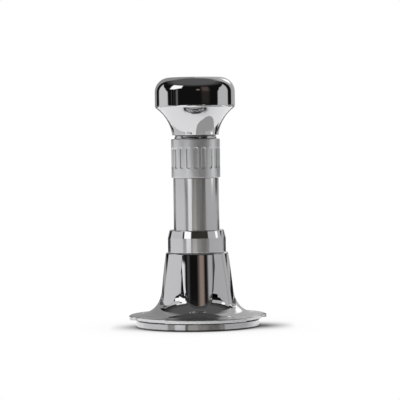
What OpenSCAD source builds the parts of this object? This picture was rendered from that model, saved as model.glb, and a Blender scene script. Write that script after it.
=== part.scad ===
// Self-levelling impact tamper for espresso, hand held, all metal outside.
// Millimetres. +Z is up. The origin is the centre of the tamping face.
// Drawn at rest: handle at its upper stop, piston drawn in, adjuster at its lightest setting.
//
// How it works: the flange of the bell rests on the basket's rim. Pushing the knob slides the
// tube down into the bell, and the main spring loads the hammer, which stands on the piston rod.
// Near the end of the stroke the sear lets the rod into the hammer, and the hammer strikes it.
// The piston then drives the disc into the coffee. Turning the collar loads the main spring.

/* [Tamping piston] */
// Diameter of the tamping disc, a slide fit in a 58 mm class basket
disc_d = 58.5; // [57.5:0.1:58.5]
// Thickness of the tamping disc
disc_t = 3.7; // [3.4:0.1:4]
// Diameter of the piston rod
rod_d = 9; // [8:0.5:9]
// Travel of the piston below the bell's flange
piston_travel = 8; // [6:0.5:8]

/* [Levelling bell] */
// Diameter of the flange that rests on the basket's rim
flange_d = 64.9; // [64:0.1:66]
// Thickness of the flange at its rim
flange_t = 1.76; // [1.6:0.02:1.9]
// Number of reliefs cut in the flange's rim
relief_count = 3; // [2:1:4]
// Depth of each relief
relief_depth = 2.2; // [1.5:0.1:2.3]
// Angle that each relief spans, between the centres of its round ends
relief_span = 41; // [36:1:60]
// Diameter of the bell at its top
bell_top_d = 29.6; // [29:0.1:30]
// Height of the bell from the flange's underside
bell_h = 31.4; // [31:0.1:32]
// Number of flutes around the bell
flute_count = 6; // [4:1:6]
// Radius of a flute's face, seen from above: it is nearly flat, and bulges a little
flute_r = 33; // [30:1:60]

/* [Guide ring] */
// Diameter of the guide ring
ring_d = 27.3; // [27:0.1:28]
// Height of the guide ring
ring_h = 10.4; // [10.2:0.1:11]

/* [Handle tube] */
// Diameter of the sliding tube
tube_d = 21.5; // [21.3:0.1:21.5]
// Length of tube that shows between the guide ring and the collar
tube_show = 24.6; // [24:0.1:26]
// Stroke of the handle
handle_travel = 14; // [10:0.5:14]

/* [Load adjuster] */
// Diameter of the collar
collar_d = 23; // [22.8:0.1:24]
// Height of the collar
collar_h = 18.3; // [18:0.1:19]
// Number of grip slots around the collar
grip_count = 20; // [12:1:24]
// Width of a grip slot
grip_w = 2.1; // [1.4:0.1:2.2]
// Turn of the collar from its lightest to its heaviest setting
adjuster_turn = 150; // [90:10:150]
// Distance that the spring seat moves over that turn
seat_travel = 4; // [2:0.5:4]

/* [Knob] */
// Diameter of the knob's side
knob_d = 37.75; // [36:0.25:39]
// Height of the knob
knob_h = 27.2; // [27:0.1:28]
// Radius that rounds the knob's top edge
crown_r = 6.9; // [5:0.1:7]

/* [Hidden] */
$fn = 96;

// Clearances and small edges
seat_gap = 0.2;        // disc to flange, at rest
running = 0.05;        // radial clearance of a running fit
bore_gap = 0.15;       // radial clearance of a loose bore
edge = 0.3;            // small edge break
eps = 0.01;
far = 60;              // longer than any cut needs

// Heights of the outer parts
flange_z = disc_t + seat_gap;
flare_z = flange_z + flange_t;
bell_z = flange_z + bell_h;
ring_z = bell_z + ring_h;
collar_z = ring_z + tube_show;
collar_top = collar_z + collar_h;
knob_z = collar_top + 1.7;
knob_top = knob_z + knob_h;

// Bell: its flare is a Bezier curve that runs into the bell's cone
cone_slope = 0.115;
flange_r = flange_d / 2;
bell_top_r = bell_top_d / 2;
flare_top_z = flange_z + 13.4;
flare_top_r = bell_top_r + cone_slope * (bell_z - flare_top_z);
web_z = flange_z + 7;                 // top of the web that carries the rod
tube_bore_r = tube_d / 2 + bore_gap;  // bore in the bell for the tube
spigot_r = 12.2;
spigot_z = bell_z + 5.7;

// Flutes: each is a face cut into the bell that leans in towards the top and ends in a round toe
first_flute = -88;                    // bearing of the first flute about +Z from +X
toe_r = 6.1;
toe_z = flange_z + 12.1;
face_toe_r = 16.4;                    // distance from the axis to the middle of a face at toe_z
face_lean = 8.53;                     // degrees from upright
first_relief = -22.4;

// Guide parts
guide_r = tube_d / 2 + running;
bush_z = spigot_z + 0.02;
wiper_z = bush_z + 2;
lip_z = wiper_z + 1.2;

// Rod and its springs
rod_r = rod_d / 2;
rod_top = 33;
nib_r = 2.4;
nib_top = 35.3;
clip_z = 29;
spring_floor_z = web_z + 1;
clip_r = 6.3;

// Tube
tube_r = tube_d / 2;
tube_low = spring_floor_z + handle_travel - 0.4;
lower_bore_r = 8.75;
upper_bore_r = 7.7;
shoulder_z = 46;
seat_r = 9.3;                          // reduced end that carries the collar and the knob
tube_top = knob_z + 9.6;
washer_t = 1.5;
pin_r = 1.5;
screw_z = 29.2;                        // retaining screws, in the two rear side flutes
screw_bearings = [first_flute + 120, first_flute + 240];
cam_bearings = [0, 180];

// Hammer, sear and main spring
shank_r = 6.3;
shank_low = 34.5;
head_z = 48;
head_top = 56;
sear_z = 35.5;
sear_h = 4;
sear_w = 6.4;
sear_travel = 1;

// Spring seat and cam
cup_r = upper_bore_r - 0.1;
cup_skirt_r = 6.85;
cup_low = 75.2;
cup_top = 98;
cup_floor = 96;
cam_z = 77;
sleeve_r = 10.5;
sleeve_bore_r = seat_r + 0.1;
sleeve_low = collar_z + 0.1;
sleeve_top = collar_top - 0.8;
friction_z = collar_top - 3;

function arc_points(x, z, r, from, to, steps) =
    [for (i = [0:steps]) let (a = from + (to - from) * i / steps) [x + r * cos(a), z + r * sin(a)]];

function bezier(a, b, c, d, steps) =
    [for (i = [0:steps]) let (t = i / steps, s = 1 - t)
        s * s * s * a + 3 * s * s * t * b + 3 * s * t * t * c + t * t * t * d];

// A ring about Z, of one rectangular section
module ring(inner, outer, low, high) {
    translate([0, 0, low]) difference() {
        cylinder(r = outer, h = high - low);
        translate([0, 0, -1]) cylinder(r = inner, h = high - low + 2);
    }
}

module around(bearings) {
    for (b = bearings) rotate([0, 0, b]) children();
}

// A compression spring with a closed coil at each end, as one swept tube
module coil_spring(mean_r, wire_r, low, high, coils) {
    sides = 10;
    per_coil = 24;
    steps = coils * per_coil;
    closed = 0.9;                      // coils at each end that lie nearly flat
    span = high - low - 2 * wire_r;
    dead = 2.06 * wire_r * closed;
    function rise(n) = n < closed ? dead * n / closed
        : n > coils - closed ? span - dead * (coils - n) / closed
        : dead + (span - 2 * dead) * (n - closed) / (coils - 2 * closed);
    points = [for (i = [0:steps]) let (n = i / per_coil, a = 360 * n)
        for (j = [0:sides - 1]) let (b = 360 * j / sides, r = mean_r + wire_r * cos(b))
            [r * cos(a), r * sin(a), low + wire_r + rise(n) + wire_r * sin(b)]];
    last = steps * sides;
    walls = [for (i = [0:steps - 1]) for (j = [0:sides - 1]) let (k = (j + 1) % sides)
        [i * sides + j, (i + 1) * sides + j, (i + 1) * sides + k, i * sides + k]];
    polyhedron(points = points, convexity = coils,
        faces = concat([[for (j = [0:sides - 1]) j]], walls,
            [[for (j = [sides - 1:-1:0]) last + j]]));
}

// ---- Piston ----

module tamping_disc() {
    face_edge = 0.5;
    top_edge = 0.5;
    socket_r = 3;
    socket_z = 1.3;
    r = disc_d / 2;
    color("gainsboro") rotate_extrude() polygon([
        [0, 0], [r - face_edge, 0], [r, face_edge], [r, disc_t - top_edge],
        [r - top_edge, disc_t], [socket_r, disc_t], [socket_r, socket_z], [0, socket_z]]);
}

module piston_rod() {
    socket_r = 3;
    socket_z = 1.3;
    color("silver") {
        rotate_extrude() polygon([
            [0, socket_z], [socket_r, socket_z], [socket_r, disc_t], [rod_r, disc_t],
            [rod_r, rod_top - 2], [rod_r - 1, rod_top - 2], [rod_r - 1, rod_top],
            [nib_r, rod_top], [nib_r, nib_top - edge], [nib_r - edge, nib_top], [0, nib_top]]);
    }
}

module anvil_cap() {
    color("dimgray") rotate_extrude() polygon([
        [rod_r - 1, rod_top - 2], [5.6, rod_top - 2], [6, rod_top - 1.6],
        [6, shank_low - 0.7], [5.8, shank_low - 0.5], [nib_r, shank_low - 0.5],
        [nib_r, rod_top], [rod_r - 1, rod_top]]);
}

module rod_clip() {
    color("dimgray") ring(rod_r, clip_r, clip_z, clip_z + 1.5);
}

module piston_spring() {
    color("silver") coil_spring(5.5, 0.65, spring_floor_z, clip_z, 7);
}

// ---- Levelling bell ----

module bell_blank() {
    bush_seat_r = rod_r + 1;
    top_edge = 0.6;
    flare = bezier([flange_r - 0.55, flare_z], [flange_r - 8.35, flare_z - 0.1],
        [flare_top_r + cone_slope * 9.2, flare_top_z - 9.2], [flare_top_r, flare_top_z], 18);
    rotate_extrude() polygon(concat(
        [[bush_seat_r, flange_z], [flange_r - edge, flange_z], [flange_r, flange_z + edge],
         [flange_r, flare_z - edge]],
        flare,
        [[bell_top_r + cone_slope * top_edge, bell_z - top_edge], [bell_top_r - top_edge, bell_z],
         [spigot_r, bell_z], [spigot_r, spigot_z],
         [tube_bore_r, spigot_z], [tube_bore_r, web_z], [bush_seat_r, web_z]]));
}

module flute_cut() {
    // A round-toed window, less the leaning cylinder that leaves the face
    difference() {
        translate([0, 0, toe_z]) rotate([90, 0, 90]) linear_extrude(far) {
            circle(r = toe_r);
            polygon([[-toe_r, 0], [toe_r, 0], [toe_r + 3.2, bell_z - toe_z + 1],
                     [-toe_r - 3.2, bell_z - toe_z + 1]]);
        }
        translate([face_toe_r, 0, toe_z]) rotate([0, -face_lean, 0])
            translate([-flute_r, 0, -far]) cylinder(r = flute_r, h = 2 * far, $fn = 180);
    }
}

module relief_cut() {
    // A shallow scallop in the rim with a round end at both sides
    floor_r = flange_r - relief_depth;
    low = flange_z - 1;
    rotate([0, 0, -relief_span / 2]) rotate_extrude(angle = relief_span)
        translate([floor_r, low]) square([relief_depth + 1, flange_t + 1.6]);
    around([-relief_span / 2, relief_span / 2]) translate([floor_r + relief_depth, 0, low])
        cylinder(r = relief_depth, h = flange_t + 1.6);
}

module levelling_bell() {
    color("silver") difference() {
        bell_blank();
        for (i = [0:flute_count - 1]) rotate([0, 0, first_flute + i * 360 / flute_count])
            flute_cut();
        for (i = [0:relief_count - 1]) rotate([0, 0, first_relief + i * 360 / relief_count])
            relief_cut();
        around(screw_bearings) translate([tube_bore_r - 1, 0, screw_z]) rotate([0, 90, 0])
            cylinder(r = pin_r, h = far);
    }
}

module rod_bush() {
    flange = 7;
    color("peru") rotate_extrude() polygon([
        [rod_r + running, flange_z + 0.1], [rod_r + 1, flange_z + 0.1], [rod_r + 1, web_z],
        [flange, web_z], [flange, spring_floor_z], [rod_r + running, spring_floor_z]]);
}

module spring_base_washer() {
    color("silver") ring(7.05, lower_bore_r - bore_gap, web_z, spring_floor_z);
}

module stop_bumper() {
    color("black") ring(lower_bore_r + 0.1, tube_bore_r - 0.1, web_z, web_z + 0.5);
}

module retaining_screws() {
    tip = tube_r - 1;
    head = 14;
    socket = 0.9;
    color("dimgray") around(screw_bearings) translate([tip, 0, screw_z]) rotate([0, 90, 0])
        difference() {
            cylinder(r = pin_r, h = head - tip);
            translate([0, 0, head - tip - 1.2]) cylinder(r = socket, h = 2, $fn = 6);
        }
}

// ---- Guide ring ----

module guide_ring() {
    side_top = ring_z - 3.6;
    taper = 0.8;
    round_r = 0.4;
    r = ring_d / 2;
    color("silver") rotate_extrude() polygon(concat(
        [[spigot_r, bell_z], [r - 0.2, bell_z], [r, bell_z + 0.2], [r, side_top]],
        arc_points(r - taper - round_r, ring_z - round_r, round_r, 12, 90, 6),
        [[guide_r + 0.1, ring_z], [guide_r + 0.1, lip_z], [spigot_r, lip_z]]));
}

module guide_bush() {
    color("peru") ring(guide_r, spigot_r, bush_z, wiper_z);
}

module wiper_seal() {
    color("black") ring(guide_r, spigot_r, wiper_z, lip_z);
}

module return_spring() {
    color("silver") coil_spring(7.75, 0.75, spring_floor_z, shoulder_z - washer_t, 9);
}

// ---- Handle tube ----

module tube_blank() {
    shoulder_edge = 0.3;
    rotate_extrude() polygon([
        [lower_bore_r, tube_low], [tube_r - 0.5, tube_low], [tube_r, tube_low + 0.5],
        [tube_r, collar_z - shoulder_edge], [tube_r - shoulder_edge, collar_z],
        [seat_r, collar_z], [seat_r, tube_top], [upper_bore_r, tube_top],
        [upper_bore_r, shoulder_z], [lower_bore_r, shoulder_z]]);
}

// An upright slot through one wall of the tube, with round ends
module wall_slot(half, low, high) {
    translate([0, 0, low + half]) rotate([90, 0, 90]) linear_extrude(far) {
        circle(r = half);
        translate([-half, 0]) square([2 * half, high - low - 2 * half]);
        translate([0, high - low - 2 * half]) circle(r = half);
    }
}

module shaft_tube() {
    slot_half = pin_r + 0.1;
    color("silver") difference() {
        tube_blank();
        around(screw_bearings)
            wall_slot(slot_half, screw_z - slot_half, screw_z + slot_half + handle_travel);
        around(cam_bearings)
            wall_slot(slot_half, cam_z - slot_half - seat_travel, cam_z + slot_half);
        ring(seat_r - 0.6, seat_r + 1, friction_z - 0.4, friction_z + 0.4);
    }
}

module spring_top_washer() {
    color("silver") ring(shank_r + 0.3, lower_bore_r, shoulder_z - washer_t, shoulder_z);
}

module friction_ring() {
    color("black") rotate_extrude() translate([seat_r - 0.25, friction_z]) circle(r = 0.34, $fn = 24);
}

module lock_ring() {
    color("dimgray") ring(seat_r, 9.95, collar_top + 0.05, knob_z);
}

// ---- Knob ----

module knob() {
    waist_r = 29.37;                   // centre of the hollow under the knob
    waist_below = 2.14;
    hollow_r = 18.57;
    r = knob_d / 2;
    crease = asin((waist_below + 12.95) / hollow_r);
    socket_top = tube_top + 0.02;
    start = asin(waist_below / hollow_r);
    color("gainsboro") rotate_extrude() polygon(concat(
        [[seat_r, knob_z]],
        [for (i = [0:16]) let (a = start + (crease - start) * i / 16)
            [waist_r - hollow_r * cos(a), knob_z - waist_below + hollow_r * sin(a)]],
        [[r - 0.12, knob_z + 13.1], [r, knob_z + 13.35]],
        arc_points(r - crown_r, knob_top - crown_r, crown_r, 0, 90, 16),
        [[0, knob_top], [0, socket_top], [seat_r, socket_top]]));
}

// ---- Hammer and sear ----

module hammer() {
    bore_r = nib_r + 0.3;
    bore_top = 44;
    color("dimgray") difference() {
        union() {
            translate([0, 0, shank_low]) cylinder(r = shank_r, h = head_z - shank_low);
            translate([0, 0, head_z]) cylinder(r = cup_r, h = head_top - head_z);
        }
        translate([0, 0, shank_low - 1]) cylinder(r = bore_r, h = bore_top - shank_low + 1);
        translate([-far / 2, -sear_w / 2 - 0.1, sear_z - 0.05]) cube([far, sear_w + 0.2, sear_h + 0.1]);
    }
}

module sear_block() {
    // Its hole sits one travel off the axis, so the rod can't pass until the block is centred
    length = 9.8;
    color("silver") translate([0, 0, sear_z]) difference() {
        translate([-(length + sear_travel) / 2, -sear_w / 2, 0]) cube([length, sear_w, sear_h]);
        translate([-sear_travel, 0, -1]) cylinder(r = nib_r + 0.3, h = sear_h + 2);
    }
}

module main_spring() {
    color("silver") coil_spring(5.6, 1.05, head_top, cup_floor, 7.5);
}

// ---- Load adjuster ----

module seat_cup() {
    boss_r = 3.5;
    color("silver") difference() {
        union() {
            ring(cup_skirt_r, cup_r, cup_low, cup_top);
            translate([0, 0, cup_floor]) cylinder(r = cup_skirt_r + eps, h = cup_top - cup_floor);
            translate([0, 0, cup_floor - 3]) cylinder(r = boss_r, h = 3 + eps);
        }
        around(cam_bearings) translate([cup_skirt_r - 1, 0, cam_z]) rotate([0, 90, 0])
            cylinder(r = pin_r, h = far);
    }
}

module cam_pins() {
    color("dimgray") around(cam_bearings) translate([cup_skirt_r, 0, cam_z]) rotate([0, 90, 0])
        cylinder(r = pin_r, h = sleeve_r - 0.2 - cup_skirt_r);
}

// A helical slot cutter: a bar of square section swept along the cam's helix
module cam_cut() {
    half = pin_r + 0.12;
    steps = 30;
    lead_in = 10;                      // degrees that the slot runs past the pin at both ends
    inner = sleeve_bore_r - 1;
    outer = sleeve_r + 1;
    turn = adjuster_turn + 2 * lead_in;
    section = [[inner, -half], [outer, -half], [outer, half], [inner, half]];
    points = [for (i = [0:steps]) let (a = -lead_in + turn * i / steps,
            drop = seat_travel * min(max(a, 0), adjuster_turn) / adjuster_turn)
        for (p = section) [p[0] * cos(a), -p[0] * sin(a), cam_z - drop + p[1]]];
    last = steps * 4;
    polyhedron(points = points, convexity = 4, faces = concat([[0, 1, 2, 3]],
        [for (i = [0:steps - 1]) for (j = [0:3]) let (k = (j + 1) % 4)
            [i * 4 + k, i * 4 + j, (i + 1) * 4 + j, (i + 1) * 4 + k]],
        [[last + 3, last + 2, last + 1, last]]));
}

module cam_sleeve() {
    color("peru") difference() {
        ring(sleeve_bore_r, sleeve_r, sleeve_low, sleeve_top);
        around(cam_bearings) cam_cut();
    }
}

module thrust_washer() {
    color("peru") ring(sleeve_bore_r, sleeve_r - 0.05, sleeve_top + 0.02, collar_top);
}

module adjuster_collar() {
    grip_depth = 0.45;
    grip_low = collar_z + 4.4;
    grip_high = collar_top - 3.9;
    r = collar_d / 2;
    color("lightgray") difference() {
        rotate_extrude() polygon([
            [sleeve_r, collar_z + 0.05], [r - edge, collar_z + 0.05], [r, collar_z + edge],
            [r, collar_top - edge], [r - edge, collar_top], [sleeve_r, collar_top]]);
        for (i = [0:grip_count - 1]) rotate([0, 0, -89 + i * 360 / grip_count])
            translate([r - grip_depth, 0, 0]) wall_slot(grip_w / 2, grip_low, grip_high);
    }
}

tamping_disc();
piston_rod();
anvil_cap();
rod_clip();
piston_spring();
levelling_bell();
rod_bush();
spring_base_washer();
stop_bumper();
retaining_screws();
guide_ring();
guide_bush();
wiper_seal();
return_spring();
shaft_tube();
spring_top_washer();
friction_ring();
lock_ring();
knob();
hammer();
sear_block();
main_spring();
seat_cup();
cam_pins();
cam_sleeve();
thrust_washer();
adjuster_collar();
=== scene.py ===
"""Looks of the self-levelling tamper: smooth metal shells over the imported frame, a pale floor and a soft studio."""
import math

import bpy
import numpy as np
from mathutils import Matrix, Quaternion, Vector


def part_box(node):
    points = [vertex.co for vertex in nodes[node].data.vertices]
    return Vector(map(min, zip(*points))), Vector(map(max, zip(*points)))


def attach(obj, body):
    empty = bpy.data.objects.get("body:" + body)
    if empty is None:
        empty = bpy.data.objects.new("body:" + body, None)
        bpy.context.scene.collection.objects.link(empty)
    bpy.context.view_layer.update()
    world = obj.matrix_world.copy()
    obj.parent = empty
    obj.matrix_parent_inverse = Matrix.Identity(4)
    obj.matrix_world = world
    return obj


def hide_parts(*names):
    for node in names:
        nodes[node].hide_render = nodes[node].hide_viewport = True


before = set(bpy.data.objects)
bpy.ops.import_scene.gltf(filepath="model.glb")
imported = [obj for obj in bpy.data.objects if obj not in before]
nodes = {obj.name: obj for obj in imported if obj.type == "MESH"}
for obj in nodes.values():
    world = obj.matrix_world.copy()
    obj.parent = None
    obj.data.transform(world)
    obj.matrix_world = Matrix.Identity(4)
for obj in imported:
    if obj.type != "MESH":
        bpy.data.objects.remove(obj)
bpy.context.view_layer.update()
MM = 0.001
DEGREES = 180 / math.pi
FLOOR_Z = -0.02                 # mm, just under the disc's face
BEVEL_HEIGHT = 3.6              # mm, the polished top of the guide ring
CHROME = (0.63, 0.63, 0.64)
DISC_STEEL = (0.57, 0.57, 0.58)
PALE_FLOOR = 0.80


def size_of(node):
    """Lowest and highest Z and the largest radius of a CAD node, in mm."""
    low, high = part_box(node)
    return low.z / MM, high.z / MM, max(high.x, high.y, -low.x, -low.y) / MM


disc_low, disc_high, disc_r = size_of("tamping_disc")
flange_z, _, flange_r = size_of("levelling_bell")
bell_z, ring_top, ring_r = size_of("guide_ring")
collar_low, collar_high, collar_r = size_of("adjuster_collar")
lock_low, lock_high, lock_r = size_of("lock_ring")
knob_low, knob_high, knob_r = size_of("knob")
tube_low, tube_top, tube_r = size_of("shaft_tube")
screw_z = (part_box("retaining_screws")[0].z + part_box("retaining_screws")[1].z) / 2 / MM


# ---- Camera ----

def place_camera(eye, target, lens, lean):
    data = bpy.data.cameras.new("camera")
    data.lens = lens
    data.sensor_width = 36
    data.clip_start = 0.05
    camera = bpy.data.objects.new("camera", data)
    bpy.context.scene.collection.objects.link(camera)
    look = (Vector(target) - Vector(eye)).to_track_quat("-Z", "Y")
    camera.rotation_mode = "QUATERNION"
    camera.rotation_quaternion = look @ Quaternion((0, 0, 1), math.radians(-lean))
    camera.location = eye
    bpy.context.scene.camera = camera


place_camera(eye=(0, -0.985, 0.090), target=(0.00175, 0, 0.0597), lens=188, lean=0.8)


# ---- Profiles and meshes, in mm ----

def arc(r, z, radius, start, end, steps):
    """Points on an arc about (r, z), angles in degrees from +R towards +Z."""
    angles = np.radians(np.linspace(start, end, steps + 1))
    return [(r + radius * math.cos(a), z + radius * math.sin(a)) for a in angles]


def rounded(corners, steps=6, hold=0.06):
    """A closed profile through (r, z, fillet) corners, with holding points beside each fillet."""
    out = []
    for i, (r, z, fillet) in enumerate(corners):
        p = np.array((r, z), float)
        if fillet <= 0:
            out.append(tuple(p))
            continue
        u = np.array(corners[i - 1][:2], float) - p
        v = np.array(corners[(i + 1) % len(corners)][:2], float) - p
        u, v = u / np.linalg.norm(u), v / np.linalg.norm(v)
        half = math.acos(np.clip(u @ v, -1, 1)) / 2
        reach = fillet / math.tan(half)
        centre = p + (u + v) / np.linalg.norm(u + v) * fillet / math.sin(half)
        first, last = p + u * reach - centre, p + v * reach - centre
        a = math.atan2(first[1], first[0])
        turn = (math.atan2(last[1], last[0]) - a + math.pi) % (2 * math.pi) - math.pi
        out.append(tuple(centre + first + u * hold))
        out += [(centre[0] + fillet * math.cos(a + turn * k / steps),
                 centre[1] + fillet * math.sin(a + turn * k / steps)) for k in range(steps + 1)]
        out.append(tuple(centre + last + v * hold))
    return out


def revolve(name, profile, columns=240, warp=None, angles=None, closed=True):
    """Turns a profile about Z. Points on the axis become poles; warp(r, z, angle) may reshape the grid."""
    profile = np.array(profile, float)
    if angles is None:
        angles = np.linspace(0, 2 * math.pi, columns, endpoint=False)
    columns = len(angles)
    top_pole, low_pole = profile[-1, 0] < 1e-6, profile[0, 0] < 1e-6
    ends = profile[0], profile[-1]
    body = profile[(1 if low_pole else 0):(-1 if top_pole else None)]
    r = np.repeat(body[:, :1], columns, 1)
    z = np.repeat(body[:, 1:], columns, 1)
    if warp:
        r, z = warp(r, z, angles)
    points = np.stack([r * np.cos(angles), r * np.sin(angles), z], -1).reshape(-1, 3)
    rows = len(body)
    j = np.arange(columns)
    k = (j + 1) % columns
    loop = closed and not (top_pole or low_pole)
    quads = []
    for i in range(rows if loop else rows - 1):
        n = (i + 1) % rows
        quads.append(np.stack([i * columns + j, i * columns + k, n * columns + k, n * columns + j], -1))
    faces = np.concatenate(quads).tolist()
    points = points.tolist()
    if low_pole:
        points.append([0, 0, float(ends[0][1])])
        faces += [[len(points) - 1, int(b), int(a)] for a, b in zip(j, k)]
    if top_pole:
        points.append([0, 0, float(ends[1][1])])
        base = (rows - 1) * columns
        faces += [[base + int(a), base + int(b), len(points) - 1] for a, b in zip(j, k)]
    mesh = bpy.data.meshes.new(name)
    mesh.from_pydata([[c * MM for c in p] for p in points], [], faces)
    mesh.polygons.foreach_set("use_smooth", [True] * len(mesh.polygons))
    mesh.update()
    piece = bpy.data.objects.new(name, mesh)
    bpy.context.scene.collection.objects.link(piece)
    return piece


def finish_piece(piece, body, material, slot, *replaced):
    piece.data.materials.append(material)
    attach(piece, body)
    if replaced:
        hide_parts(*replaced)
    return piece


def step(x, low, high):
    """0 below low and 1 above high, smooth between."""
    t = np.clip((np.asarray(x, float) - low) / (high - low), 0, 1)
    return t * t * (3 - 2 * t)


def soft_min(a, b, k):
    h = np.clip(0.5 + 0.5 * (b - a) / k, 0, 1)
    return b * (1 - h) + a * h - k * h * (1 - h)


def wrapped(a):
    return (a + math.pi) % (2 * math.pi) - math.pi


# ---- Node arithmetic ----

class Value:
    """A socket of a node tree that plain arithmetic can be written with."""

    def __init__(self, tree, socket):
        self.tree, self.socket = tree, socket

    def op(self, kind, *others, clamp=False):
        n = self.tree.nodes.new("ShaderNodeMath")
        n.operation = kind
        n.use_clamp = clamp
        for slot, v in zip(n.inputs, (self,) + others):
            if isinstance(v, Value):
                self.tree.links.new(v.socket, slot)
            else:
                slot.default_value = v
        return Value(self.tree, n.outputs[0])

    def __add__(self, other):
        return self.op("ADD", other)

    def __sub__(self, other):
        return self.op("SUBTRACT", other)

    def __mul__(self, other):
        return self.op("MULTIPLY", other)

    def __truediv__(self, other):
        return self.op("DIVIDE", other)

    def clamp(self):
        return self.op("ADD", 0.0, clamp=True)

    def flip(self):
        return self.op("MULTIPLY_ADD", -1.0, 1.0)


def above(x, edge, soft):
    """1 where x is over the edge, 0 under it. edge may be a Value."""
    return ((x - edge) / soft + 0.5).clamp()


def band(x, low, high, soft):
    return above(x, low, soft) * above(x, high, soft).flip()


def azimuth(x, y):
    """The bearing in degrees: 0 towards the camera, and positive to its right."""
    return x.op("ARCTAN2", y * -1.0) * DEGREES


def radius(x, y):
    return (x * x + y * y).op("SQRT")


def combined(tree, values):
    """One colour socket from three values."""
    colour = tree.nodes.new("ShaderNodeCombineColor")
    for slot, value in zip(colour.inputs, values):
        tree.links.new(value.socket, slot)
    return colour.outputs[0]


# ---- Studio ----

def build_world():
    """White to the camera, a soft dome to the floor, and panels, a window and lines to what is polished."""
    world = bpy.data.worlds.new("studio")
    bpy.context.scene.world = world
    world.use_nodes = True
    world.cycles.sampling_method = "NONE"
    tree = world.node_tree
    background = tree.nodes["Background"]
    coords = tree.nodes.new("ShaderNodeTexCoord")
    axes = tree.nodes.new("ShaderNodeSeparateXYZ")
    tree.links.new(coords.outputs["Generated"], axes.inputs[0])
    x, y, z = (Value(tree, s) for s in axes.outputs)
    az = azimuth(x, y)
    el = z.op("ARCSINE") * DEGREES
    low = el.op("MAXIMUM", 0.0)                              # the panels stand on the floor's far edge

    left_edge = low * -0.85 - 84.0 - (low - 18.0).op("MAXIMUM", 0.0)
    left = above(az, -125.0, 4.0) * above(az, left_edge, 4.0).flip()
    right_edge = low * 0.45 + 69.0 + (low - 22.0).op("MAXIMUM", 0.0) * 1.6
    right = above(az, right_edge, 4.0) * above(az, 109.0, 4.0).flip()
    behind_left = above(az, -143.0, 3.0).flip()
    behind_right = above(az, 129.0, 3.0)
    wall = above(el, 52.0, 14.0).flip()
    sill = ((az + 62.0) / 16.0).clamp() * 8.0 + 16.0
    window = band(az, -78.0, -41.0, 3.0) * above(el, sill, 3.0) * above(el, 43.0, 4.0).flip()
    lines = band(az, -72.0, -70.5, 1.0) + band(az, -56.0, -50.0, 3.0) * 2.0 + band(az, -63.0, -62.0, 1.0)
    lines = lines * band(el, -4.0, 14.0, 4.0)
    spot = band(az, 147.0, 163.0, 6.0) * band(el, 19.0, 33.0, 6.0)
    grey = (left * 0.80 + right * 0.66 + behind_left * 0.34 + behind_right * 0.52) * wall
    grey = grey.op("MAXIMUM", window * 1.5) + lines * 0.08 + spot * 1.2
    grey = grey + above(el, 47.0, 18.0) * 0.12 + 0.008
    brown = band(az, 20.0, 42.0, 8.0) * band(el, 3.0, 34.0, 8.0) * 0.09
    brown = brown + band(az, 6.0, 13.5, 3.0) * band(el, 8.0, 17.0, 4.0) * 0.34
    brown = brown + band(az, 3.0, 6.0, 2.0) * band(el, 8.0, 17.0, 4.0) * 0.10

    path = tree.nodes.new("ShaderNodeLightPath")
    camera = Value(tree, path.outputs["Is Camera Ray"])
    diffuse = Value(tree, path.outputs["Is Diffuse Ray"])
    bounced = above(Value(tree, path.outputs["Diffuse Depth"]), 0.5, 0.1)
    key = ((x * -0.60 + y * 0.22 + z * 0.77 - 1.0) * 8.0).op("EXPONENT")
    dome = key * 2.9 + z * 0.3 + 0.66
    totals = []
    for tint in (1.0, 0.78, 0.66):
        seen = grey + brown * tint
        lit = diffuse * dome + diffuse.flip() * bounced.flip() * seen
        totals.append(camera + camera.flip() * lit)
    tree.links.new(combined(tree, totals), background.inputs["Color"])
    background.inputs["Strength"].default_value = 1.0


def material(name, colour, roughness, metallic=1.0, anisotropic=0.0):
    m = bpy.data.materials.new(name)
    m.use_nodes = True
    shader = m.node_tree.nodes["Principled BSDF"]
    shader.inputs["Base Color"].default_value = (*colour, 1)
    shader.inputs["Roughness"].default_value = roughness
    shader.inputs["Metallic"].default_value = metallic
    shader.inputs["Anisotropic"].default_value = anisotropic
    return m, m.node_tree, shader


def object_axes(tree):
    coords = tree.nodes.new("ShaderNodeTexCoord")
    axes = tree.nodes.new("ShaderNodeSeparateXYZ")
    tree.links.new(coords.outputs["Object"], axes.inputs[0])
    return coords.outputs["Object"], [Value(tree, s) for s in axes.outputs]


def noise(tree, vector, scale, detail=3.0, rough=0.55, stretch=None):
    if stretch:
        mapping = tree.nodes.new("ShaderNodeMapping")
        mapping.inputs["Scale"].default_value = stretch
        tree.links.new(vector, mapping.inputs["Vector"])
        vector = mapping.outputs[0]
    n = tree.nodes.new("ShaderNodeTexNoise")
    n.inputs["Scale"].default_value = scale
    n.inputs["Detail"].default_value = detail
    n.inputs["Roughness"].default_value = rough
    tree.links.new(vector, n.inputs["Vector"])
    return Value(tree, n.outputs["Fac"])


def bump(tree, shader, height, strength, distance):
    n = tree.nodes.new("ShaderNodeBump")
    n.inputs["Strength"].default_value = strength
    n.inputs["Distance"].default_value = distance
    tree.links.new(height.socket, n.inputs["Height"])
    tree.links.new(n.outputs[0], shader.inputs["Normal"])


def brushed_round(tree, shader):
    """Turned metal: the highlight runs across the turning lines."""
    n = tree.nodes.new("ShaderNodeTangent")
    n.direction_type = "RADIAL"
    n.axis = "Z"
    tree.links.new(n.outputs[0], shader.inputs["Tangent"])
    shader.inputs["Anisotropic Rotation"].default_value = 0.25


def polish(tree, vector):
    """The slight unevenness of polished chrome's roughness."""
    return noise(tree, vector, 55, 4) * 0.05 + noise(tree, vector, 900, 2, stretch=(1, 1, 2.5)) * 0.02


def turning_lines(tree, vector):
    return noise(tree, vector, 420, 3, 0.7, stretch=(0.03, 0.03, 7))


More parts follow.
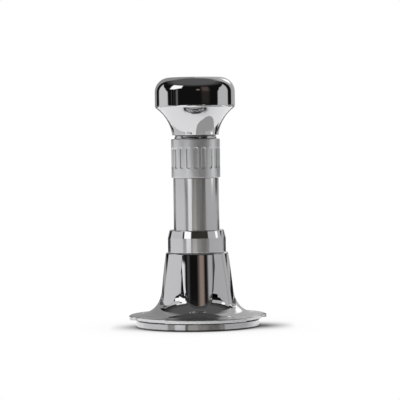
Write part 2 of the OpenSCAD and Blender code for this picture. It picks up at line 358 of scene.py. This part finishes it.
def mirror_chrome():
    m, tree, shader = material("mirror_chrome", CHROME, 0.04)
    vector, _ = object_axes(tree)
    tree.links.new((polish(tree, vector) + 0.005).socket, shader.inputs["Roughness"])
    bump(tree, shader, noise(tree, vector, 120, 2), 0.05, 0.00002)
    return m


def bell_chrome():
    """Mirror chrome with a satin turned rim."""
    m, tree, shader = material("bell_chrome", CHROME, 0.05)
    vector, (x, y, z) = object_axes(tree)
    side = above(z / MM, flange_z + 1.5, 0.2).flip() * above(radius(x, y) / MM, 29.5, 0.4)
    rough = polish(tree, vector) + side * 0.22 + 0.005
    tree.links.new(rough.socket, shader.inputs["Roughness"])
    lines = noise(tree, vector, 500, 2, stretch=(0.02, 0.02, 6)) * side
    bump(tree, shader, lines + noise(tree, vector, 120, 2) * 0.1, 0.25, 0.00003)
    return m


def satin_steel(name, colour, roughness, anisotropic, line_strength):
    m, tree, shader = material(name, colour, roughness, anisotropic=anisotropic)
    brushed_round(tree, shader)
    vector, _ = object_axes(tree)
    lines = turning_lines(tree, vector)
    cloud = noise(tree, vector, 60, 3)
    rough = (lines - 0.5) * 0.10 + (cloud - 0.5) * 0.08 + roughness
    tree.links.new(rough.socket, shader.inputs["Roughness"])
    bump(tree, shader, lines, line_strength, 0.00003)
    return m


def disc_steel():
    """Turned steel, with painted shade in the gap under the flange and a painted contact shadow along the edge it
    stands on.
    """
    m = satin_steel("satin_disc", DISC_STEEL, 0.12, 0.2, 0.01)
    tree = m.node_tree
    shader = tree.nodes["Principled BSDF"]
    vector, (_, _, z) = object_axes(tree)
    height = z / MM
    # Painted shade: the base colour is darkened at the top edge under the flange and at the foot on the floor.
    gap = above(height, disc_high - 0.48, 0.15)
    foot = above(height, disc_low + 0.8, 0.2).flip() * above(height, 0.02, 0.02)
    dark = (gap + foot) * (noise(tree, vector, 300, 2) * 0.2 + 0.75)
    unshaded = dark.clamp().flip()
    tree.links.new(combined(tree, [unshaded * tint for tint in DISC_STEEL]), shader.inputs["Base Color"])
    return m


def ring_steel():
    """A satin turned side under a polished bevel."""
    m, tree, shader = material("ring_steel", (0.64, 0.64, 0.65), 0.2, anisotropic=0.6)
    brushed_round(tree, shader)
    vector, (_, _, z) = object_axes(tree)
    bevel = above(z / MM, ring_top - BEVEL_HEIGHT, 0.15)
    lines = turning_lines(tree, vector)
    rough = bevel.flip() * (lines * 0.06 + 0.13) + bevel * 0.05
    tree.links.new(rough.socket, shader.inputs["Roughness"])
    bump(tree, shader, lines * bevel.flip(), 0.03, 0.00003)
    return m


def blasted_aluminium():
    m, tree, shader = material("blasted_aluminium", (0.74, 0.745, 0.755), 0.4)
    vector, _ = object_axes(tree)
    grain = noise(tree, vector, 5200, 3, 0.7)
    cloud = noise(tree, vector, 90, 3)
    rough = grain * 0.12 + (cloud - 0.5) * 0.06 + 0.33
    tree.links.new(rough.socket, shader.inputs["Roughness"])
    bump(tree, shader, grain, 0.35, 0.00004)
    return m


def plain_metal(name, colour, roughness, scale, depth):
    m, tree, shader = material(name, colour, roughness)
    vector, _ = object_axes(tree)
    grain = noise(tree, vector, scale, 3, 0.6)
    tree.links.new((grain * 0.14 + (roughness - 0.07)).socket, shader.inputs["Roughness"])
    bump(tree, shader, grain, depth, 0.00004)
    return m


def black_rubber():
    m, tree, shader = material("black_rubber", (0.018, 0.018, 0.019), 0.6, metallic=0.0)
    vector, _ = object_axes(tree)
    grain = noise(tree, vector, 2600, 3, 0.6)
    tree.links.new((grain * 0.2 + 0.5).socket, shader.inputs["Roughness"])
    bump(tree, shader, grain, 0.3, 0.00005)
    return m


# ---- Cards that only reflections see ----

def reflector(name, piece, glow, cover):
    """Makes a card of a piece. glow gives its three radiances, and cover is 1 where it stands and 0 where not."""
    m = bpy.data.materials.new(name)
    m.use_nodes = True
    tree = m.node_tree
    tree.nodes.clear()
    _, (x, y, z) = object_axes(tree)
    az, height = azimuth(x, y), z / MM
    light = tree.nodes.new("ShaderNodeEmission")
    tree.links.new(combined(tree, glow(az, height)), light.inputs["Color"])
    clear = tree.nodes.new("ShaderNodeBsdfTransparent")
    mix = tree.nodes.new("ShaderNodeMixShader")
    tree.links.new(cover(az, height).socket, mix.inputs[0])
    tree.links.new(clear.outputs[0], mix.inputs[1])
    tree.links.new(light.outputs[0], mix.inputs[2])
    out = tree.nodes.new("ShaderNodeOutputMaterial")
    tree.links.new(mix.outputs[0], out.inputs["Surface"])
    piece.data.materials.append(m)
    piece.visible_camera = piece.visible_diffuse = piece.visible_shadow = False


def side_glow(az, height):
    """Low cards at both sides: what the bell, the ring, the tube and the collar reflect, and the knob doesn't."""
    high = above(height, 58.0, 3.0)
    left_edge = (height - 58.0).op("MAXIMUM", 0.0) * -0.9 - 54.0
    right_edge = ((height - 60.0) / 8.0).clamp() * 19.0 + 47.0
    grey = above(az, -127.0, 3.0) * above(az, left_edge, 3.0).flip() * 0.80
    foot = above(height, 15.0, 3.0).flip()
    stripe = foot.flip() * 1.12 + foot * 0.28 + foot * band(az, -46.0, -31.0, 3.0) * 0.25
    grey = grey + band(az, -42.0, high * 3.5 - 22.0, 3.0) * stripe + band(az, -15.0, -10.5, 2.0) * high * 0.07
    grey = grey + above(az, right_edge, 3.0) * above(az, 130.0, 3.0).flip() * 0.58
    grey = grey + band(az, 117.0, 121.0, 3.0) * -0.10 + band(az, 20.0, 28.0, 3.0) * high * 0.55
    return [grey * tint for tint in (1.0, 0.993, 1.008)]


def side_cover(az, height):
    sides = band(az, -127.0, -60.0, 2.0) + band(az, 46.0, 130.0, 2.0)
    inner = band(az, -60.0, -53.0, 1.0) * above(height, 58.0, 3.0).flip()
    stripe = band(az, -43.0, -18.0, 1.0) * above(height, 85.0, 2.0).flip()
    thin = (band(az, -16.0, -9.5, 1.0) + band(az, 19.0, 29.0, 1.0)) * above(height, 64.0, 3.0)
    return (sides + inner + stripe + thin).clamp()


def middle_glow(az, height):
    """The warm wall towards the camera, between the side cards."""
    edges = band(az, -60.0, -42.0, 3.0) * 0.36 + band(az, 39.0, 48.0, 3.0) * 0.30
    warm = (edges * above(height, 61.0, 2.0).flip() + band(az, -22.0, 0.0, 3.0) * 0.43
            + band(az, 0.0, 18.0, 3.0) * 0.27 + band(az, 18.0, 39.0, 3.0) * 0.17)
    return [warm * tint for tint in (1.03, 1.0, 0.93)]


def middle_cover(az, height):
    return band(az, -60.0, 48.0, 2.0)


def back_glow(az, height):
    """What the tube and the bell reflect beside their outlines: bright low down, with a dark edge over it."""
    low = above(height, 59.0, 2.0).flip()
    grey = (band(az, -152.0, -127.0, 2.0) * 0.48 + band(az, 130.0, 152.0, 2.0) * 0.55) * low
    return [grey + band(az, 152.0, 170.0, 2.0) * 0.62 + band(az, -172.0, -152.0, 2.0) * 0.40] * 3


def back_cover(az, height):
    return band(az, -172.0, -127.0, 1.0) + band(az, 130.0, 170.0, 1.0)


def land_glow(az, height):
    return [az * 0.0 + 0.012] * 3


def land_cover(az, height):
    """Dark, and only at the heights that the lands between the flutes reflect: it draws their edges."""
    return (band(az, -172.0, -127.0, 2.0) + band(az, 122.0, 172.0, 2.0)) * above(height, 34.0, 2.0).flip()


def ring_glow(az, height):
    """A card near the ring, at the height that only the ring's bevel reflects."""
    grey = above(az, -57.0, 3.0).flip() * 0.74 + band(az, -50.0, -23.0, 3.0) * 1.55
    grey = grey + band(az, 45.0, 109.0, 3.0) * 0.60 + band(az, 79.0, 91.0, 3.0) * above(height, 66.0, 2.0) * 0.9
    warm = band(az, -23.0, 45.0, 3.0) * 0.045
    return [grey + warm * tint for tint in (1.05, 1.0, 0.85)]


def ring_cover(az, height):
    front = band(az, -57.0, 45.0, 1.0) * above(height, 71.0, 2.0)
    return front + band(az, -118.0, -57.0, 1.0) + band(az, 45.0, 124.0, 1.0)


def build_cards():
    """Five round cards and a flat one. Each takes its name, its radius, three heights, its glow and its cover."""
    for name, far, heights, glow, cover in (
            ("ring_card", 100, (60, 72, 82.5), ring_glow, ring_cover),
            ("back_card", 600, (1, 50, 100), back_glow, back_cover),
            ("land_card", 400, (3, 18, 36), land_glow, land_cover),
            ("side_cards", 250, (1, 50, 100), side_glow, side_cover),
            ("middle_card", 350, (1, 40, 82), middle_glow, middle_cover)):
        card = revolve(name, [(far, height) for height in heights], 180, closed=False)
        reflector(name, card, glow, cover)
    build_floor_card()


def build_floor_card():
    """The grey shape on the floor that the knob's underside reflects."""
    outline = [(4, 200), (6, 150), (10, 112), (22, 88), (40, 74), (60, 67), (75, 70), (85, 84), (92, 110),
               (98, 180), (102, 330), (80, 345), (60, 345), (40, 345), (20, 345), (2, 330)]
    points = []
    for bearing, far in outline:
        a = math.radians(bearing)
        points.append((far * math.sin(a) * MM, -far * math.cos(a) * MM, 0.3 * MM))
    mesh = bpy.data.meshes.new("floor_card")
    mesh.from_pydata(points, [], [list(range(len(points)))])
    patch = bpy.data.objects.new("floor_card", mesh)
    bpy.context.scene.collection.objects.link(patch)
    reflector("floor_shade", patch, lambda az, _: [az * 0.0 + 0.38] * 3, lambda az, _: az * 0.0 + 0.9)


build_world()
build_cards()
chrome = mirror_chrome()
rim_chrome = bell_chrome()
tube_finish = satin_steel("satin_tube", (0.61, 0.605, 0.615), 0.17, 0.5, 0.012)
disc_finish = disc_steel()
ring_finish = ring_steel()
collar_finish = blasted_aluminium()
ground_steel = plain_metal("ground_steel", (0.58, 0.58, 0.59), 0.18, 900, 0.10)
spring_wire = plain_metal("spring_wire", (0.50, 0.49, 0.48), 0.24, 1800, 0.20)
sintered_bronze = plain_metal("sintered_bronze", (0.62, 0.42, 0.22), 0.36, 2600, 0.30)
black_oxide = plain_metal("black_oxide", (0.06, 0.06, 0.065), 0.32, 1700, 0.20)
rubber = black_rubber()


# ---- Outer shells ----

def knob_profile():
    waist_r, waist_z, hollow = 29.37, knob_low - 2.14, 18.57
    crown = 6.9
    crease_z = knob_low + 12.95
    start = 180 - math.degrees(math.asin((knob_low + 0.25 - waist_z) / hollow))
    end = 180 - math.degrees(math.asin((crease_z - waist_z) / hollow))
    crease_r = waist_r + hollow * math.cos(math.radians(end))
    lean = end - 90
    brow = (knob_r - crease_r) / (1 - math.cos(math.radians(lean)))
    brow_z = crease_z + brow * math.sin(math.radians(lean))
    first_r = waist_r + hollow * math.cos(math.radians(start))
    socket_top = knob_low + 9.62
    return ([(0, socket_top), (9.25, socket_top), (9.25, knob_low), (first_r - 0.3, knob_low),
             (first_r - 0.18, knob_low + 0.02), (first_r - 0.05, knob_low + 0.1)]
            + arc(waist_r, waist_z, hollow, start, end, 60)
            + arc(knob_r - brow, brow_z, brow, -lean, 0, 8)[1:]
            + [(knob_r, z) for z in np.linspace(brow_z, knob_high - crown, 8)[1:-1]]
            + arc(knob_r - crown, knob_high - crown, crown, 0, 90, 48)
            + [(r, knob_high) for r in (11.8, 9, 6, 3, 0)])


knob_shell = revolve("knob_shell", knob_profile(), 360)
finish_piece(knob_shell, "handle", chrome, "polished_steel", "knob")

neck = revolve("neck_shell", rounded([
    (9.25, lock_low, 0), (lock_r, lock_low, 0.15), (lock_r, lock_low + 0.7, 0.08),
    (lock_r - 0.25, lock_low + 0.8, 0.05), (lock_r - 0.25, lock_high, 0), (9.25, lock_high, 0)]), 240)
finish_piece(neck, "handle", chrome, "black_steel", "lock_ring")


def grip_slots(r, z, angles):
    count, width, depth = 20, 2.1, 0.45
    low, high = collar_low + 4.35, collar_high - 3.9
    across = wrapped(angles - math.radians(-89)) % (2 * math.pi / count)
    across = np.minimum(across, 2 * math.pi / count - across)[None, :] * collar_r
    along = np.maximum(np.abs(z - (low + high) / 2) - ((high - low) - width) / 2, 0)
    outside = np.hypot(across, along) - width / 2
    cut = depth * (1 - step(outside, -0.28, 0.08))
    return r - cut * (r > collar_r - 0.02), z


collar_rows = sorted(set(np.round(np.concatenate([
    np.linspace(collar_low + 0.4, collar_high - 0.4, 24),
    np.arange(collar_low + 4.0, collar_low + 5.8, 0.07),
    np.arange(collar_high - 5.4, collar_high - 3.6, 0.07)]), 3)))
collar_shell = revolve("collar_shell",
    [(10.5, collar_low), (collar_r - 0.36, collar_low)]
    + arc(collar_r - 0.3, collar_low + 0.3, 0.3, -90, 0, 6) + [(collar_r, z) for z in collar_rows]
    + arc(collar_r - 0.3, collar_high - 0.3, 0.3, 0, 90, 6)
    + [(collar_r - 0.36, collar_high), (10.5, collar_high)], 1000, grip_slots)
finish_piece(collar_shell, "adjuster", collar_finish, "blasted_aluminium", "adjuster_collar")

tube_shell = revolve("tube_shell", rounded([
    (8.75, tube_low, 0), (tube_r, tube_low, 0.5), (tube_r, collar_low - 0.05, 0.25),
    (9.3, collar_low - 0.05, 0), (9.3, tube_top, 0.2), (7.7, tube_top, 0.2), (7.7, 46, 0), (8.75, 46, 0)]), 360)
finish_piece(tube_shell, "handle", tube_finish, "tube_steel", "shaft_tube")

ring_side = ring_top - BEVEL_HEIGHT
ring_shell = revolve("ring_shell", rounded([
    (12.2, bell_z, 0), (ring_r, bell_z, 0.2), (ring_r, ring_side, 0.12),
    (ring_r - 0.8 - 0.02, ring_top, 0.4), (tube_r + 0.12, ring_top, 0.12),
    (tube_r + 0.12, ring_top - 1.4, 0), (12.2, ring_top - 1.4, 0)]), 360)
finish_piece(ring_shell, "base", ring_finish, "ring_steel", "guide_ring")

disc_rim = rounded([
    (disc_r - 0.5, disc_low, 0.06), (disc_r, disc_low + 0.5, 0.06), (disc_r - 0.22, disc_high - 0.5, 0.08),
    (disc_r - 0.6, disc_high, 0.06), (3, disc_high, 0), (3, disc_low + 1.3, 0)])[:-2]
disc_shell = revolve("disc_shell",
    [(r, disc_low) for r in (0, 8, 16, 24, disc_r - 0.62)] + disc_rim
    + [(3.02, disc_high), (3.0, disc_low + 1.3), (0, disc_low + 1.3)], 360)
finish_piece(disc_shell, "piston", disc_finish, "satin_steel", "tamping_disc")


# ---- Bell ----

FLUTES = np.radians([-88 + 60 * i for i in range(6)])
SCREWS = np.radians([32, 152])
RELIEFS = np.radians([-22.4, 97.6, 217.6])
RELIEF_HALF = math.radians(20.5)
RELIEF_DEPTH = 2.2
flare_z = flange_z + 1.76
bell_top_r, cone_slope = 14.8, 0.115
flare_top_z = flange_z + 13.4
flare_top_r = bell_top_r + cone_slope * (bell_z - flare_top_z)


def bell_outline():
    """The bell's outside before it is fluted, from the rim's top edge to the top of the cone."""
    t = np.linspace(0, 1, 600)[:, None]
    a, b, c, d = (np.array(p) for p in ((flange_r - 0.55, flare_z), (flange_r - 8.35, flare_z - 0.1),
                                        (flare_top_r + cone_slope * 9.2, flare_top_z - 9.2),
                                        (flare_top_r, flare_top_z)))
    flare = (1 - t) ** 3 * a + 3 * (1 - t) ** 2 * t * b + 3 * (1 - t) * t ** 2 * c + t ** 3 * d
    path = np.concatenate([flare, [[bell_top_r, bell_z]]])
    length = np.concatenate([[0], np.cumsum(np.linalg.norm(np.diff(path, axis=0), axis=1))])
    out, s = [], 0.0
    while s < length[-1] - 0.02:
        r, z = np.interp(s, length, path[:, 0]), np.interp(s, length, path[:, 1])
        out.append((r, z))
        fine = 8.6 < z < 13.5 or abs(z - screw_z) < 2.0
        s += 0.07 if z > bell_z - 1.3 else 0.11 if fine else 0.16 if s < 0.8 else 0.32
    out.append((bell_top_r, bell_z))
    return out


def flute_bell(r, z, angles):
    """Cuts the flutes, rounds the top edge, sinks the screw holes and takes the reliefs out of the rim."""
    outside = r > 13
    toe_r, toe_z, bulge = 6.1, flange_z + 12.1, 33.0
    floor = 16.4 - 0.15 * (z - toe_z)
    k = 0.10 + 0.45 * (1 - step(z, 13.5, 17.0))
    cut = r.copy()
    for centre in FLUTES:
        off = wrapped(angles - centre)[None, :]
        c = bulge - floor
        face = -c * np.cos(off) + np.sqrt(bulge ** 2 - (c * np.sin(off)) ** 2)
        across = np.abs(face * np.sin(off))
        inside = np.where(z >= toe_z, toe_r + 0.40 * (z - toe_z) - across,
                          toe_r - np.hypot(across, np.minimum(z - toe_z, 0)))
        wall = r - 2.6 * inside
        opened = -soft_min(-face, -wall, 0.35)
        near = (np.abs(off) < math.radians(62)) & (z > 8.0)
        cut = np.where(near, soft_min(cut, opened, k), cut)
    u = np.clip((z - (bell_z - 0.95)) / 0.95, 0, 1)
    cut = cut - 0.95 * (1 - np.sqrt(1 - u * u))
    for bearing in SCREWS:
        off = wrapped(angles - bearing)[None, :]
        hole = np.hypot(14.2 * off, z - screw_z)
        cut = np.where(np.abs(off) < 0.3, cut - (cut - 13.2) * (1 - step(hole, 1.52, 1.68)), cut)
    r = np.where(outside, np.where(z > 8, cut, r), r)
    depth = np.zeros_like(angles)
    end = RELIEF_DEPTH / flange_r
    for bearing in RELIEFS:
        past = np.clip((np.abs(wrapped(angles - bearing)) - RELIEF_HALF) / end, 0, 1)
        depth = np.maximum(depth, RELIEF_DEPTH * np.sqrt(1 - past ** 2))
    low = (z < flare_z + 3) & (r > 26)
    return np.where(low, r - depth[None, :] * np.clip((r - 26) / 5.4, 0, 1), r), z


end_steps = RELIEF_DEPTH / flange_r * np.array([0.7, 0.85, 0.93, 0.97, 0.99, 1, 1.01])
relief_ends = np.concatenate([b + s * (RELIEF_HALF + end_steps) for b in RELIEFS for s in (-1, 1)])
bell_angles = np.unique(np.round(np.concatenate([
    np.linspace(0, 2 * math.pi, 900, endpoint=False), relief_ends % (2 * math.pi)]), 6))
bell_shell = revolve("bell_shell",
    [(r, flange_z) for r in (5.5, 12, 20, 26, 29, 31.4, 32.0)]
    + arc(flange_r - 0.3, flange_z + 0.3, 0.3, -90, 0, 6)
    + [(flange_r, flange_z + 0.36), (flange_r, flare_z - 0.5)]
    + arc(flange_r - 0.45, flare_z - 0.45, 0.45, 0, 84, 8)
    + bell_outline()
    + [(13.2, bell_z), (tube_r + 0.15, bell_z), (tube_r + 0.15, flange_z + 7), (5.5, flange_z + 7)],
    warp=flute_bell, angles=bell_angles)
finish_piece(bell_shell, "base", rim_chrome, "polished_steel", "levelling_bell")


# ---- Finishes of the parts inside ----

FINISHES = {
    ground_steel: ("piston_rod", "spring_base_washer", "spring_top_washer", "sear_block", "seat_cup"),
    spring_wire: ("piston_spring", "return_spring", "main_spring"),
    sintered_bronze: ("rod_bush", "guide_bush", "cam_sleeve", "thrust_washer"),
    black_oxide: ("anvil_cap", "rod_clip", "retaining_screws", "cam_pins", "hammer"),
    rubber: ("stop_bumper", "wiper_seal", "friction_ring"),
}
for finish, names in FINISHES.items():
    for name in names:
        for slot in nodes[name].material_slots:
            slot.material = finish


# ---- Floor ----

def painted_shadow_streak(x, y, right_reach, right_dark, left_reach, left_dark, spread):
    """A soft painted shadow beside the disc, in mm: long to the right, and short to the left."""
    right = ((x * -1.0 + right_reach) / 14.0).clamp() * above(x, 0.0, 2.0) * right_dark
    left = ((x + left_reach) / 10.0).clamp() * above(x, 0.0, 2.0).flip() * left_dark
    return (right + left) * ((y * y) / -spread).op("EXPONENT")


def floor_shadow():
    """What the camera sees of the floor: clear, with a painted shadow, so that a disc pushed under it shows."""
    m, tree, shader = material("floor_shadow", (1.0, 1.0, 1.0), 1.0, metallic=0.0)
    _, (x, y, _) = object_axes(tree)
    x, y = x / MM, y / MM
    off = radius(x, y) - 29.0
    streak = painted_shadow_streak(x, y, 46.0, 0.78, 42.0, 0.42, 200.0)
    contact = (off / -2.2).op("EXPONENT") * 0.5 + (off / -9.0).op("EXPONENT") * 0.14
    outside = above(off, -0.4, 0.3)
    clear = (streak * outside).flip() * (contact.clamp() * outside).flip()
    glass = tree.nodes.new("ShaderNodeBsdfTransparent")
    tree.links.new(combined(tree, [clear] * 3), glass.inputs["Color"])
    output = next(n for n in tree.nodes if n.type == "OUTPUT_MATERIAL")
    tree.links.new(glass.outputs[0], output.inputs["Surface"])
    tree.nodes.remove(shader)
    return m


def floor_sheet(name):
    return revolve(name, [(r, FLOOR_Z) for r in (0, 40, 120, 360)], 96, closed=False)


def build_floor():
    """The pale floor, which lights and reflections see, with a painted shadow in its colour, and the clear veil on
    it, which the camera sees.
    """
    m, tree, shader = material("pale_floor", (PALE_FLOOR,) * 3, 0.9, metallic=0.0)
    shader.inputs["Specular IOR Level"].default_value = 0.0
    _, (x, y, _) = object_axes(tree)
    # Painted shadow: the floor's colour is darker beside the disc.
    shade = painted_shadow_streak(x / MM, y / MM, 45.0, 0.80, 41.0, 0.50, 180.0)
    tree.links.new(combined(tree, [shade.flip() * PALE_FLOOR] * 3), shader.inputs["Base Color"])
    floor = floor_sheet("floor")
    floor.data.flip_normals()
    floor.data.materials.append(m)
    floor.visible_camera = False

    veil = floor_sheet("floor_veil")
    veil.data.materials.append(floor_shadow())
    veil.visible_glossy = veil.visible_diffuse = veil.visible_transmission = veil.visible_shadow = False


build_floor()
bpy.context.scene.view_settings.view_transform = "Standard"
